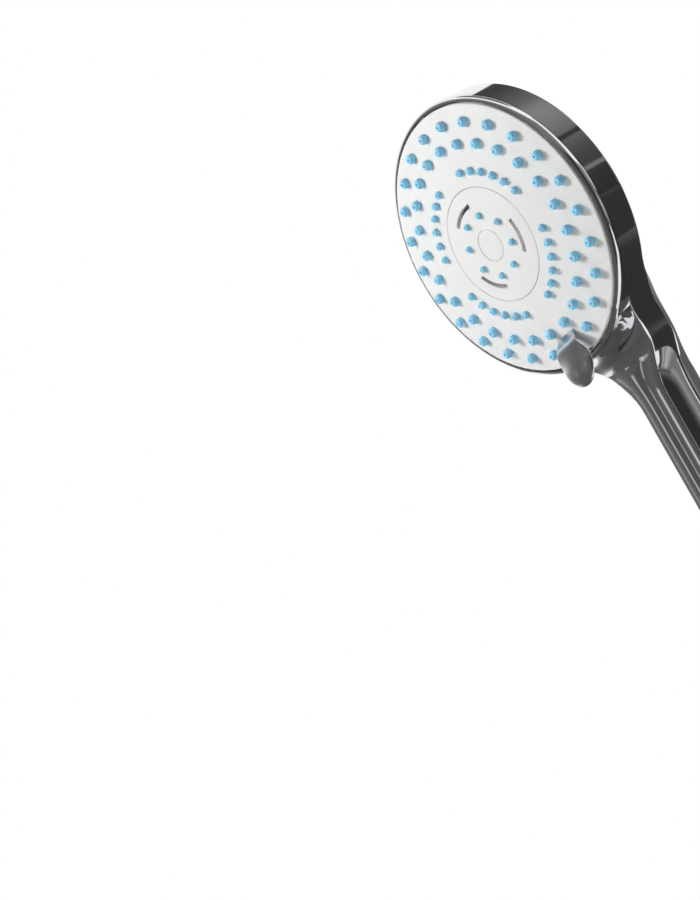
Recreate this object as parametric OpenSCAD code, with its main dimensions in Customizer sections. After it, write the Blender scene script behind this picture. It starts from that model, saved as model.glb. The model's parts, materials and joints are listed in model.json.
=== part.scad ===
// Handheld shower head with a lever that turns the spray face, in millimetres.
// +Z runs up the handle's axis, and the origin is the middle of the hose thread's end face.
// The head is drawn in its own frame: its Z points out of the spray face, its Y up the face,
// and its Z = 0 is the plane of the chrome rim. "Drop" is a distance below the face's centre.

/* [Overall] */
// Height from the thread's end to the top of the head
overall_h = 240; // [232:1:260]
// Angle by which the spray leans down from square to the handle
face_tilt = 8.2; // [6:0.1:10]
// Distance from the rim plane back to the handle's axis, at the face's centre
axis_back = 32; // [31.5:0.1:33]

/* [Head] */
// Radius of the opening in the chrome rim
face_r = 52.2; // [52:0.1:52.4]
// Radius outside the chrome rim
rim_r = 54; // [54:0.1:54.4]
// How far the rim's outer edge lies behind its inner edge
rim_fall = 2.1; // [1.6:0.1:2.4]
// Depth of the straight side wall
side_d = 11.5; // [11:0.1:12]
// Depth of the back's dome behind the side wall
back_dome = 15.4; // [15:0.1:17]
// Height of the spray face's dome
dome_h = 6; // [5.5:0.1:6.5]
// Wall thickness of the chrome shells
wall = 2.2; // [2:0.1:2.3]

/* [Handle] */
// Half of the handle's width
handle_r = 12.5; // [12.3:0.1:13]
// Radius at the foot of the handle
foot_r = 12.1; // [12:0.1:12.3]
// Half of the width of the front strip between its two edges
strip_r = 8.3; // [8:0.1:8.6]
// Radius of the flare between head and handle
flare_r = 38; // [34:1:42]
// Height of the collar's top edge above the thread's end
collar_top = 21; // [20:0.5:24]

/* [Hose thread] */
// Radius over the thread, G 1/2
thread_r = 10.478; // [10.4:0.001:10.5]
// Distance from crest to crest
thread_pitch = 1.814; // [1.8:0.001:1.82]
// Length of the thread
thread_l = 13; // [12:0.5:13]
// Depth of the thread
thread_deep = 1.16; // [1:0.01:1.16]

/* [Nozzles] */
// Nozzle places in each of the two outer rings
ring_n = 24; // [24:24]
// Radius of the outer ring of nozzles
outer_ring = 45.6; // [45.4:0.1:45.8]
// Radius of the second ring of nozzles
second_ring = 38.1; // [37.9:0.1:38.3]
// Radius of the ring of mist nozzles
mist_ring = 28; // [27.8:0.1:28.2]
// Radius of the ring of centre nozzles
centre_ring = 11.6; // [11.4:0.1:11.8]
// Height that a rain nozzle stands out
nozzle_h = 2.5; // [2:0.1:3]

/* [Selector] */
// Radius to the lever's tip
lever_tip = 61; // [60:0.1:62]
// Half of the lever's width
lever_w = 7.4; // [7:0.1:7.6]
// Angle between two spray settings
click = 30; // [30:30]
// Radius of the ring of ports
port_ring = 14; // [14:0.1:14.2]
// Radius of the ring of detent hollows
track_ring = 27; // [27:0.1:27.2]
// Running clearance round a turning or sliding part
run = 0.05; // [0.03:0.01:0.08]

/* [Hidden] */
$fn = 96;

chrome = "#8f9499";
pale_abs = "#e6e6e3";
white_pom = "#f2f2ee";
silicone = "#3fa6da";
black_rubber = "#26282a";
steel = "#b4b8bb";

// Where the head's centre falls on the handle's axis, and where its face is
axis_z = overall_h - rim_r * cos(face_tilt) + (axis_back - rim_fall - side_d) * sin(face_tilt);
face_y = -axis_back * cos(face_tilt);
face_z = axis_z - axis_back * sin(face_tilt);

// Levels inside the head, along the spray axis
skin = 2.2;                     // faceplate thickness
mat_t = 1.3;                    // nozzle mat thickness
plate_z = -7;                   // back of the spray plate
plate_t = 2;
gasket_t = 0.75;
disc_z = -11.4;                 // back of the port disc
seat_z = -11.8;                 // front of the valve seat
seat_t = 4;
post_r = 5;
hub_r = 7.2;
cup_r = 51.6;                   // outside of the turning spray face
dome_r = (face_r * face_r + dome_h * dome_h) / (2 * dome_h);
lip = 0.6;                      // chrome cover's edge over the shell

// ---------- shape of head, neck and handle, as functions of the drop d ----------

function mix(a, b, t) = a + (b - a) * t;
function clamp01(t) = min(1, max(0, t));
function step(a, b, x) = let (t = clamp01((x - a) / (b - a))) t * t * (3 - 2 * t);

foot_d = (axis_z - collar_top - 0.3) * cos(face_tilt);   // drop at the foot of the shells

// Local depth of the handle's axis
function axis_depth(d) = -axis_back + d * tan(face_tilt);

// Half width of the plan outline, drawn in by t: rim circle, flare, handle
flare_x = handle_r + flare_r;
flare_d = sqrt(pow(rim_r + flare_r, 2) - flare_x * flare_x);
function outline(d, t = 0) =
    d < flare_d * (rim_r - t) / (rim_r + flare_r) ? sqrt(max(0, pow(rim_r - t, 2) - d * d)) :
    d < flare_d ? flare_x - sqrt(pow(flare_r + t, 2) - pow(flare_d - d, 2)) :
    mix(handle_r, foot_r, step(110, foot_d, d)) - t;

// Heights in front of the handle's axis: front edge, back edge of the side wall, spine
strip_z = 8.1;
function foot_mix(d) = step(115, foot_d, d);
function edge_h(d) =
    let (round_h = mix(strip_z, sqrt(foot_r * foot_r - strip_r * strip_r), foot_mix(d)))
    mix(-rim_fall - axis_depth(d), round_h, step(36, 64, d));
function edge_x(d, t = 0) =
    outline(d, t) - (handle_r - strip_r) * step(58, 80, d) + (handle_r - foot_r) * foot_mix(d);
function side_h(d) = edge_h(d) - mix(mix(side_d, 8.3, step(60, 82, d)),
    sqrt(foot_r * foot_r - strip_r * strip_r), foot_mix(d));
function spine_h(d) =
    let (u = clamp01(d / 55), r = rim_r - 0.5, back = -rim_fall - side_d,
         head_z = back - back_dome * (1 - d * d / (r * r)),
         p0 = back - back_dome, p1 = axis_depth(55) - handle_r, m1 = tan(face_tilt) * 55,
         neck_z = p0 * (2 * pow(u, 3) - 3 * u * u + 1) + p1 * (3 * u * u - 2 * pow(u, 3))
                + m1 * (pow(u, 3) - u * u))
    d < 0 ? head_z - axis_depth(d) :
    d < 55 ? neck_z - axis_depth(d) :
    -mix(handle_r, foot_r, foot_mix(d));
// How round the back is across: 1 is a shallow dome, 0.5 a half ellipse
function back_power(d) = d < 38 ? 1 + 0.3 * step(0, 38, d) : mix(1.3, 0.5, clamp01((d - 38) / 39));

// A point of the body: x across, drop d, height h in front of the handle's axis
function lean(d) = face_tilt * (1 - step(72, 110, d));
function body_point(x, d, h) =
    [x, -h * cos(lean(d)), axis_z - d / cos(face_tilt) - h * sin(lean(d))];

// A place along the body is an angle round the head or a drop: [angle, undef] or [undef, drop]
function drop(s, t) = is_undef(s[1]) ? -(rim_r - t) * cos(s[0]) : s[1];
thin = 0.95;                    // wall beside the cover's sleeve

// One half of a cross-section drawn in by t, from the front edge round to the spine
back_n = 8;
function side_point(s, t, u) =
    let (d = drop(s, t), x0 = edge_x(d, t), x1 = outline(d, t), h0 = edge_h(d) - lip - 0.1,
         h1 = side_h(d), hm = mix(h0, h1, 0.5))
    body_point(mix(mix(x0, x1, u), x1, u), d, mix(mix(h0, hm, u), mix(hm, h1, u), u));
function back_point(s, t, a) =
    let (d = drop(s, t), h1 = side_h(d), hs = spine_h(d) + t)
    body_point(outline(d, t) * cos(a), d, h1 - (h1 - hs) * pow(sin(a), 2 * back_power(d)));
function inset(s, t, u) =
    t == 0 || u > 0.45 ? t : mix(thin, t, step(46, 52, drop(s, t)));
function half_section(s, t) = concat(
    [for (u = [0, 0.22, 0.44, 0.46, 0.75, 1]) side_point(s, inset(s, t, u), u)],
    [for (j = [1 : back_n]) back_point(s, t, 90 * j / back_n)]);
function section(s, t) =
    let (half = half_section(s, t), n = len(half))
    concat(half, [for (j = [n - 2 : -1 : 0]) [-half[j][0], half[j][1], half[j][2]]]);

// Where the shell is cut across: round the head, through the flare, and down the handle
stations = concat([for (a = [4, 9]) [a, undef]], [for (a = [16 : 8.1 : 146]) [a, undef]],
    [for (d = [48 : 2.9 : 80]) [undef, d]], [for (k = [0 : 7]) [undef, mix(85, foot_d, k / 7)]]);

// Joins rings of points into one closed solid; each ring is an outer path and an inner path
module tube_of_rings(rings) {
    n = len(rings[0]);
    m = n / 2;
    last = len(rings) - 1;
    sides = [for (k = [0 : last - 1], j = [0 : n - 1]) let (i = (j + 1) % n, a = k * n, b = a + n)
        each [[a + j, b + i, b + j], [a + j, a + i, b + i]]];
    caps = [for (j = [0 : m - 2]) let (i = n - 1 - j, b = last * n)
        each [[j, i - 1, j + 1], [j, i, i - 1], [b + j, b + j + 1, b + i - 1], [b + j, b + i - 1, b + i]]];
    polyhedron(points = [for (r = rings) each r], faces = concat(sides, caps), convexity = 10);
}

// ---------- frames and small shapes ----------

module head_frame() {
    translate([0, face_y, face_z]) rotate([90 + face_tilt, 0, 0]) children();
}

// A ring or disc from z0 up to z1
module ring(z0, z1, r_out, r_in = 0) {
    translate([0, 0, z0]) difference() {
        cylinder(h = z1 - z0, r = r_out);
        if (r_in > 0) translate([0, 0, -1]) cylinder(h = z1 - z0 + 2, r = r_in);
    }
}

// Everything under the spray face's dome, lowered by t
module under_dome(t = 0) {
    translate([0, 0, dome_h - dome_r]) sphere(r = dome_r - t, $fn = 200);
}

// A domed sheet between two depths below the face and two radii
module domed_sheet(t0, t1, r_out, r_in) {
    difference() {
        intersection() {
            ring(-12, 12, r_out, r_in);
            under_dome(t0);
        }
        under_dome(t1);
    }
}

function dome_z(r) = dome_h - dome_r + sqrt(dome_r * dome_r - r * r);

module o_ring(r_mid, r_section, z) {
    translate([0, 0, z]) rotate_extrude() translate([r_mid, 0]) circle(r = r_section, $fn = 32);
}

// Open coil spring standing on z0
module coil_spring(r, wire, turns, z0, h) {
    steps = 14;
    sides = 6;
    count = turns * steps;
    rings = [for (k = [0 : count]) let (a = 360 * k / steps, z = z0 + wire + (h - 2 * wire) * k / count)
        [for (j = [0 : sides - 1]) let (b = 360 * j / sides, q = r + wire * cos(b))
            [q * cos(a), q * sin(a), z + wire * sin(b)]]];
    faces = concat(
        [for (k = [0 : count - 1], j = [0 : sides - 1]) let (i = (j + 1) % sides, p = k * sides, q = p + sides)
            each [[p + j, p + i, q + i], [p + j, q + i, q + j]]],
        [[for (j = [sides - 1 : -1 : 0]) j], [for (j = [0 : sides - 1]) count * sides + j]]);
    polyhedron(points = [for (q = rings) each q], faces = faces, convexity = 10);
}

// A screw standing along Z: shaft up to its tip, head at the bottom
module screw(z_head, head_h, head_r, z_tip, shaft_r) {
    difference() {
        union() {
            ring(z_head, z_head + head_h, head_r);
            ring(z_head + head_h - 0.01, z_tip, shaft_r);
        }
        for (a = [0, 90]) rotate(a)
            translate([-head_r * 0.6, -0.3, z_head - 1]) cube([head_r * 1.2, 0.6, 1 + head_h * 0.55]);
    }
}

// Nozzle places: angles in each ring, measured from +X
lever_angle = 270;
function outer_angles() = [for (k = [0 : ring_n - 1]) let (a = k * 360 / ring_n) if (a != lever_angle) a];
function second_angles() = [for (k = [0 : ring_n - 1]) (k + 0.5) * 360 / ring_n];
mist_pitch = 11.15;
function mist_angles() = [for (q = [45 : 90 : 315], k = [-2.5 : 2.5]) q + k * mist_pitch];
centre_n = 8;
function centre_angles() = [for (k = [0 : centre_n - 1]) (k + 0.5) * 360 / centre_n];
module at_ring(angles, r) {
    for (a = angles) rotate(a) translate([r, 0, 0]) children();
}
rain_hole = 2;
peg_rings = [42, 47.8];         // places of the lever's staked pegs
mist_hole = 1.55;
screw_angles = [45 : 90 : 315];

// ---------- chrome shells ----------

module rear_shell() {
    boss_r = 31;
    color(chrome) {
        difference() {
            union() {
                tube_of_rings([for (s = stations) let (inner = section(s, wall))
                    concat(section(s, 0), [for (j = [len(inner) - 1 : -1 : 0]) inner[j]])]);
                // Screw posts for the valve seat; the lower two reach the deeper neck
                head_frame() for (a = screw_angles)
                    rotate(a) translate([boss_r, 0, 0]) ring(a < 180 ? -22.5 : -27, seat_z - seat_t - 0.05, 3.4);
            }
            head_frame() at_ring(screw_angles, boss_r) ring(-20.5, -10, 1.45);
        }
        // Two cradles that carry the water tube
        for (z = [62, 112]) difference() {
            translate([-5.2, 1, z]) cube([10.4, 9.6, 3]);
            translate([0, 0, z - 1]) cylinder(h = 5, r = 5.6);
        }
    }
}

// Front of the chrome cover at x and drop d: a crowned strip, and a scoop that rises to the rim
scoop_w = 9;
cover_t = 2;
function crown(d) = mix(1.4 * step(66, 90, d), foot_r - sqrt(foot_r * foot_r - strip_r * strip_r), foot_mix(d));
function strip_h(x, d) = edge_h(d) + crown(d) * (1 - pow(x / edge_x(d), 2));
function scoop(x, d) =
    let (reach = norm([outline(d), d]) - rim_r, w = max(0.5, min(scoop_w, reach)))
    d > 72 ? 0 : pow(1 - clamp01((norm([x, d]) - rim_r) / w), 2);
function front_h(x, d) = mix(strip_h(x, d), -rim_fall - axis_depth(d), scoop(x, d));

// Columns across the cover, as shares of the half width; the outer two lie over the shell's edge
column_n = 6;
function shares(d) = let (x = edge_x(d), a = (x - wall - 0.15) / x, b = (x - wall - 0.4) / x)
    concat([-1, -a], [for (k = [-column_n : column_n]) b * k / column_n], [a, 1]);
flare_end = 71;
apron_r = rim_r - 0.8;          // radius at which the neck starts, inside the rim's wall
arc_half = asin(outline(flare_d * rim_r / (rim_r + flare_r)) / rim_r);
// Plan point of column share q at step v between the rim (0) and the end of the flare (1)
function neck_point(q, v) =
    let (b = arc_half * q, d0 = apron_r * cos(b), w0 = abs(q) == 1 ? q : apron_r * sin(b) / outline(d0),
         d = mix(d0, flare_end, v))
    [edge_x(d) * mix(w0, q, v), d];
// One ring round the cover: the front across, then the back
function cover_ring(points) = let (n = len(points)) concat(
    [for (p = points) body_point(p[0], p[1], abs(p[0]) > edge_x(p[1]) - 0.01 ? edge_h(p[1]) : front_h(p[0], p[1]))],
    [for (j = [n - 1 : -1 : 0]) let (p = points[j], edge = j < 2 || j > n - 3)
        body_point(p[0], p[1], edge ? edge_h(p[1]) - lip : strip_h(p[0], p[1]) - cover_t)]);

// Rim with a rounded front edge and the sleeve that snaps into the shell. Its outer wall reaches
// down to the shell's edge, which lies deep at the bottom, where the neck starts
module rim() {
    n = 96;
    function low(r, b) =
        let (d = r * cos(b)) edge_h(d) + axis_depth(d) - (rim_r * cos(b) < 49 ? lip : 3);
    rings = [for (k = [0 : n - 1]) let (b = 360 * k / n, r = face_r + 0.6,
            front = [for (a = [0 : 15 : 90]) [face_r, -rim_fall] + (rim_r - face_r) * [cos(a), sin(a)]])
        [for (q = concat(front, [[face_r, -7], [r, -7], [r, low(r, b)], [rim_r, low(rim_r, b)]]))
            [q[0] * sin(b), -q[0] * cos(b), q[1]]]];
    m = len(rings[0]);
    faces = [for (k = [0 : n - 1], j = [0 : m - 1]) let (i = (j + 1) % m, p = m * k, q = m * ((k + 1) % n))
        each [[p + j, p + i, q + i], [p + j, q + i, q + j]]];
    polyhedron(points = [for (r = rings) each r], faces = faces, convexity = 8);
}

module front_cover() {
    steps = [0, 0.04, 0.1, 0.17, 0.26, 0.38, 0.52, 0.67, 0.83, 1];
    lower = concat([75, 80, 86], [for (k = [1 : 6]) mix(86, foot_d, k / 6)]);
    color(chrome) {
        tube_of_rings(concat(
            [for (v = steps) cover_ring([for (q = shares(flare_end)) neck_point(q, v)])],
            [for (d = lower) cover_ring([for (q = shares(d)) [q * edge_x(d), d]])]));
        head_frame() rim();
    }
}

module handle_collar() {
    low = 14.5;
    color(chrome) difference() {
        rotate_extrude() {
            translate([9.65, low + 1]) square([foot_r - 9.65, collar_top - low - 1]);
            translate([9.65, low]) square([foot_r - 10.65, 2]);
            translate([foot_r - 1, low + 1]) circle(r = 1, $fn = 32);
        }
        // Flats for the assembly spanner, hidden behind the hose's nut
        for (s = [-1, 1]) translate([s * 12.6, 0, low]) cube([2.2, 10, 5], center = true);
    }
}

// ---------- water way in the handle ----------

tube_r = 5.5;
tube_bore = 4.2;
tube_end_r = 6.2;
tube_low = 27;
socket_drop = 54;                                    // drop at the mouth of the valve seat's socket
tube_high = axis_z - (socket_drop - 11) / cos(face_tilt);

module hose_connector() {
    color(chrome) difference() {
        union() {
            cylinder(h = thread_l, r = thread_r);
            cylinder(h = 38, r = 9.6);
            translate([0, 0, 21.2]) cylinder(h = 2, r = 9.75);
        }
        // Thread grooves, as separate rounds
        for (z = [0.9 : thread_pitch : thread_l - 1]) translate([0, 0, z]) rotate_extrude()
            polygon([[thread_r - thread_deep, 0.62], [thread_r + 0.5, 0], [thread_r + 0.5, 1.5],
                     [thread_r - thread_deep, 0.88]]);
        translate([0, 0, thread_l - 0.6]) ring(0, 1.8, 12, 9.2);
        // Inlet throat, seat for the regulator, bore, and the socket for the tube
        translate([0, 0, -1]) cylinder(h = 11, r = 7.2);
        translate([0, 0, -1]) cylinder(h = 16, r = 5.6);
        cylinder(h = 40, r = tube_bore);
        translate([0, 0, tube_low - 0.5]) cylinder(h = 20, r = tube_end_r + 0.05);
    }
}

module water_tube() {
    h = tube_high - tube_low;
    color(white_pom) translate([0, 0, tube_low]) difference() {
        union() {
            cylinder(h = h, r = tube_r);
            cylinder(h = 10, r = tube_end_r);
            translate([0, 0, h - 10]) cylinder(h = 10, r = tube_end_r);
        }
        translate([0, 0, -1]) cylinder(h = h + 2, r = tube_bore);
        for (z = [4, h - 6]) ring(z, z + 2, 8, 5.15);
    }
}

module tube_base_o_ring() {
    color(black_rubber) o_ring(5.72, 0.52, tube_low + 5);
}

module tube_top_o_ring() {
    color(black_rubber) o_ring(5.72, 0.52, tube_high - 5);
}

module flow_regulator() {
    color(white_pom) translate([0, 0, 4]) difference() {
        union() {
            ring(0, 5.9, 7.1, 5.4);
            ring(2, 4, 6, 0);
        }
        for (a = [0 : 45 : 315]) rotate(a) translate([3.6, 0, 0]) cylinder(h = 6, r = 0.9);
    }
}

module filter_screen() {
    color(steel) translate([0, 0, 3]) difference() {
        cylinder(h = 0.9, r = 7.1);
        for (i = [-3 : 3], j = [-3 : 3]) if (i * i + j * j < 11)
            translate([i * 1.7, j * 1.7, -1]) cylinder(h = 3, r = 0.6, $fn = 16);
    }
}

// ---------- fixed valve in the head ----------

pocket_r = 5.8;
pocket_floor = -21.4;
track_r = 2.1;
plunger_r = 1.95;

// Duct from the socket on the tube to the port pocket, as wide as r
module duct(r) {
    low = [0, -(socket_drop - 12), axis_depth(socket_drop - 12)];
    high = [0, -port_ring, pocket_floor + 1.6];
    run_y = high[1] - low[1];
    run_z = high[2] - low[2];
    translate(low) {
        sphere(r = r);
        rotate([-atan2(run_y, run_z), 0, 0]) cylinder(h = norm([run_y, run_z]), r = r);
    }
}

module valve_seat() {
    socket_z = axis_z - socket_drop / cos(face_tilt);
    color(white_pom) difference() {
        union() {
            head_frame() {
                ring(seat_z - seat_t, seat_z, 36);
                ring(seat_z - 1, 1.3, post_r);
                translate([0, -port_ring, 0]) ring(pocket_floor - 2.5, seat_z - 1, pocket_r + 2.2);
                translate([0, track_ring, 0]) ring(-21.9, seat_z - 1, 4);
                duct(6);
            }
            translate([0, 0, socket_z]) cylinder(h = 12 / cos(face_tilt), r = 7.3);
        }
        head_frame() {
            ring(-14.5, 2, 2.05);
            translate([0, -port_ring, 0]) ring(pocket_floor, 0, pocket_r);
            translate([0, track_ring, 0]) ring(-21.4, 0, plunger_r + run);
            duct(tube_bore);
            at_ring(screw_angles, 31) {
                ring(-17, 0, 1.5);
                ring(seat_z - 2, 0, 2.9);
            }
            ring(-10.1, -8.9, post_r + 3, 3.85);
        }
        translate([0, 0, socket_z - 1]) cylinder(h = tube_high - socket_z + 1.2, r = tube_end_r + 0.05);
        translate([0, 0, socket_z]) cylinder(h = 16, r = tube_bore);
    }
}

module valve_seat_screws() {
    color(steel) head_frame() at_ring(screw_angles, 31)
        mirror([0, 0, 1]) screw(-(seat_z - 0.35), 1.6, 2.75, 20.3, 1.4);
}

module hub_o_ring() {
    color(black_rubber) head_frame() o_ring(4.44, 0.57, -9.5);
}

module port_seal() {
    color(black_rubber) head_frame() translate([0, -port_ring, 0]) {
        ring(-17, -11.5, 5.6, 3);
    }
}

module port_seal_spring() {
    color(steel) head_frame() translate([0, -port_ring, 0]) coil_spring(4.4, 0.35, 4, pocket_floor + 0.05, 4.25);
}

plunger_low = -16.6;
plunger_travel = 0.85;
module detent_plunger() {
    color(steel) head_frame() translate([0, track_ring, 0]) {
        ring(plunger_low, -12.7, plunger_r);
        translate([0, 0, -12.7]) sphere(r = plunger_r);
    }
}

// Drawn at the length it has with the plunger pushed right in
module detent_spring() {
    color(steel) head_frame() translate([0, track_ring, 0])
        coil_spring(1.4, 0.22, 6, -21.35, plunger_low - plunger_travel + 21.35);
}

module pivot_washer() {
    color(steel) head_frame() ring(1.45, 2.05, 6.8, 2.1);
}

module pivot_screw() {
    color(steel) head_frame() mirror([0, 0, 1]) screw(-3.75, 1.65, 3.6, 13.5, 2);
}

// ---------- turning spray face ----------

module faceplate() {
    color(pale_abs) head_frame() difference() {
        union() {
            domed_sheet(0, skin, cup_r, 22);
            ring(plate_z, dome_z(cup_r) - 1, cup_r, 50.8);
        }
        at_ring(outer_angles(), outer_ring) ring(-9, 9, rain_hole);
        at_ring(second_angles(), second_ring) ring(-9, 9, rain_hole);
        at_ring(mist_angles(), mist_ring) ring(-9, 9, mist_hole);
        // Holes for the lever's staked pegs
        for (r = peg_rings) rotate(lever_angle) translate([r, 0, 0]) ring(-9, 9, 1.45);
    }
}

// Plan of the lever: a point on the face that widens to a round tip
module lever_plan(r0, w, tip) {
    hull() {
        translate([r0, 0]) circle(r = 0.4, $fn = 24);
        translate([tip - 9.6, 0]) circle(r = w, $fn = 72);
        translate([tip - w, 0]) circle(r = w, $fn = 72);
    }
}

module selector_lever() {
    top = 9.3;
    thick = 3.4;
    root = 39.4;
    color(chrome) head_frame() rotate(lever_angle) {
        difference() {
            intersection() {
                linear_extrude(height = 12) lever_plan(root, lever_w, lever_tip);
                rotate_extrude() polygon([
                    [root - 1, 2.4], [root + 7.6, 6.9], [rim_r, 8.8], [lever_tip + 1, top],
                    [lever_tip + 1, top - thick], [rim_r, 5], [face_r - 0.9, 3.6], [face_r - 0.9, 0], [root - 1, 0]]);
            }
            under_dome(-0.03);
        }
        for (r = peg_rings) translate([r, 0, 0]) ring(dome_z(r) - skin, dome_z(r) + 1, 1.4);
    }
}

// A silicone mat (the child, of thickness t) with a taper standing out at each place, bored through;
// each of rings is [angles, radius, foot radius, tip radius, height over the face, bore]
module nozzle_mat(t, rings) {
    difference() {
        union() {
            children();
            for (q = rings) let (low = dome_z(q[1]) - skin - t / 2, high = dome_z(q[1]) + q[4])
                at_ring(q[0], q[1]) translate([0, 0, low]) cylinder(h = high - low, r1 = q[2], r2 = q[3], $fn = 48);
        }
        for (q = rings) at_ring(q[0], q[1]) cylinder(h = 40, r = q[5], center = true, $fn = 16);
    }
}

module rain_nozzles() {
    color(silicone) head_frame() difference() {
        nozzle_mat(mat_t, [[outer_angles(), outer_ring, 1.92, 1.5, nozzle_h, 0.55],
                           [second_angles(), second_ring, 1.92, 1.5, nozzle_h, 0.55]])
            domed_sheet(skin + 0.05, skin + 0.05 + mat_t, 49.8, 33.3);
        for (r = peg_rings) rotate(lever_angle) translate([r, 0, 0]) ring(-9, 9, 1.6);
    }
}

module mist_nozzles() {
    color(silicone) head_frame() nozzle_mat(mat_t, [[mist_angles(), mist_ring, 1.48, 1.15, 1.9, 0.4]])
        domed_sheet(skin + 0.05, skin + 0.05 + mat_t, 32.8, 22.3);
}

module centre_nozzles() {
    low = dome_z(14.6) - skin - 1.05;
    color(silicone) head_frame() nozzle_mat(1, [[centre_angles(), centre_ring, 1.3, 1.05, 1.6, 0.4]])
        ring(low, low + 1, 14.6, 8.4);
}

cap_r = 6;
slot_span = 46;
slot_r = 15.2;
slot_w = 1.7;
module centre_insert() {
    color(pale_abs) head_frame() difference() {
        union() {
            domed_sheet(0, skin, 21.9, cap_r + 0.1);
            domed_sheet(skin - 0.5, skin + mat_t, 21.9, 20.6);
        }
        at_ring(centre_angles(), centre_ring) ring(-9, 9, 1.38);
        // Three arc slots that the turbine's pulses come out of
        for (a = [30, 150, 270]) rotate(a - slot_span / 2)
            rotate_extrude(angle = slot_span) translate([slot_r, -5]) square([slot_w, 20]);
    }
}

module centre_cap() {
    color(pale_abs) head_frame() {
        domed_sheet(0, 0.9, cap_r, 0);
        ring(4, 5.4, cap_r, cap_r - 1);
    }
}

module spray_plate() {
    hub_top = 1.4;
    color(white_pom) head_frame() difference() {
        union() {
            ring(plate_z, plate_z + plate_t, 50.7);
            ring(plate_z, hub_top, hub_r);
            intersection() {
                union() {
                    ring(plate_z, 9, 50.7, 49);
                    ring(plate_z, 9, 33.9, 32.2);
                    ring(plate_z, 9, 23.3, 20.7);
                }
                under_dome(skin + mat_t + 0.1);
            }
            at_ring([0 : 60 : 300], 35.2) ring(plate_z, plate_z + 4, 2.6);
        }
        ring(-9, 9, post_r + run);
        // Ways from the ports into the three chambers
        at_ring([for (a = [-60 : 30 : 60]) lever_angle + a], port_ring) ring(-9, -4, 2.6);
        at_ring([for (a = [15 : 30 : 345]) a], 28) ring(-9, -4, 1.8);
        at_ring([for (a = [30 : 60 : 330]) a], 41.5) ring(-9, -4, 2.4);
        at_ring([0 : 60 : 300], 35.2) ring(-9, plate_z + 3.9, 1.25);
    }
}

module jet_plate() {
    color(pale_abs) head_frame() difference() {
        ring(plate_z + plate_t + 0.05, -3.9, 20.6, hub_r + 0.1);
        for (a = [0 : 60 : 300]) rotate(a) translate([14.5, 0, -4.5])
            rotate([38, 0, 0]) cube([5, 1.4, 8], center = true);
    }
}

module turbine() {
    vanes = 9;
    color(white_pom) head_frame() difference() {
        union() {
            ring(-3.7, 1.1, 8.8);
            // Shutter over half of the turn
            difference() {
                ring(0.2, 1, 19.2);
                translate([-25, 0, -1]) cube([50, 25, 4]);
            }
            for (k = [0 : vanes - 1]) rotate((k + 0.5) * 360 / vanes) translate([8, -0.5, -3.5])
                cube([11, 1, 4]);
        }
        ring(-9, 9, hub_r + run);
    }
}

module chamber_gasket() {
    color(black_rubber) head_frame() difference() {
        ring(plate_z - gasket_t, plate_z, 37.9, 8.4);
        at_ring([for (a = [-60 : 30 : 60]) lever_angle + a], port_ring) ring(-9, -4, 2.7);
        at_ring([for (a = [15 : 30 : 345]) a], 28) ring(-9, -4, 1.9);
        at_ring([0 : 60 : 300], 35.2) ring(-9, -4, 1.3);
    }
}

module port_disc() {
    front = plate_z - gasket_t;
    color(white_pom) head_frame() difference() {
        ring(disc_z, front, 38);
        ring(-13, 0, post_r + run);
        at_ring([for (a = [-60 : 30 : 60]) lever_angle + a], port_ring) ring(-13, 0, 2.8);
        // Water grooves on the front, leading to the mist and the rain chambers
        ring(front - 1.5, 0, 30, 26);
        // Detent track, as deep as the plunger reaches, with a wider hollow at each setting
        ring(-13, disc_z + 1, track_ring + track_r, track_ring - track_r);
        at_ring([for (a = [-60 : click : 60]) 90 + a], track_ring) ring(-13, disc_z + 1, track_r + 0.7);
        at_ring([0 : 60 : 300], 35.2) {
            ring(-13, 0, 1.25);
            ring(-13, disc_z + 1.4, 2.3);
        }
    }
}

module port_disc_screws() {
    color(steel) head_frame() at_ring([0 : 60 : 300], 35.2) screw(disc_z + 0.15, 1.2, 2.2, plate_z + 3.8, 1.2);
}

rear_shell();
front_cover();
handle_collar();
hose_connector();
water_tube();
tube_top_o_ring();
tube_base_o_ring();
flow_regulator();
filter_screen();
valve_seat();
valve_seat_screws();
hub_o_ring();
port_seal();
port_seal_spring();
detent_plunger();
detent_spring();
pivot_washer();
pivot_screw();
faceplate();
selector_lever();
rain_nozzles();
mist_nozzles();
centre_nozzles();
centre_insert();
centre_cap();
spray_plate();
jet_plate();
chamber_gasket();
port_disc();
port_disc_screws();
turbine();
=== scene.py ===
# Hand shower: chrome shells, turning spray face with a thumb lever, hose thread at the foot.
import bpy
import json
from math import asin, cos, hypot, pi, radians, sin, sqrt, tan
from mathutils import Matrix, Vector


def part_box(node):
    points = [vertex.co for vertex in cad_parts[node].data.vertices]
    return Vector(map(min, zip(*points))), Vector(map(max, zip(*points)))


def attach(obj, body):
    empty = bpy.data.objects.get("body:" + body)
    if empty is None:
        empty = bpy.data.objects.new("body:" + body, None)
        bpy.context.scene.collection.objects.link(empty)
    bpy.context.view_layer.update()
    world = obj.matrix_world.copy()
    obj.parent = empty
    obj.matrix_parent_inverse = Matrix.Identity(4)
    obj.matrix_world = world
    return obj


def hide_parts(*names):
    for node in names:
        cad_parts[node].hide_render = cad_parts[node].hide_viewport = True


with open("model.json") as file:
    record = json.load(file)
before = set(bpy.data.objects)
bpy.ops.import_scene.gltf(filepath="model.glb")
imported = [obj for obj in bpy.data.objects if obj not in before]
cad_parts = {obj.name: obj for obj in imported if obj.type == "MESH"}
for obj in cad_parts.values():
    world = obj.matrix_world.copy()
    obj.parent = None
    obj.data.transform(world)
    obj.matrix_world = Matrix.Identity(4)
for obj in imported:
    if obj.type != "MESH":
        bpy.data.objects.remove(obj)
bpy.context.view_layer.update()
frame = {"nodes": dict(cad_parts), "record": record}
record = frame["record"]
mm = 0.001

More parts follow.
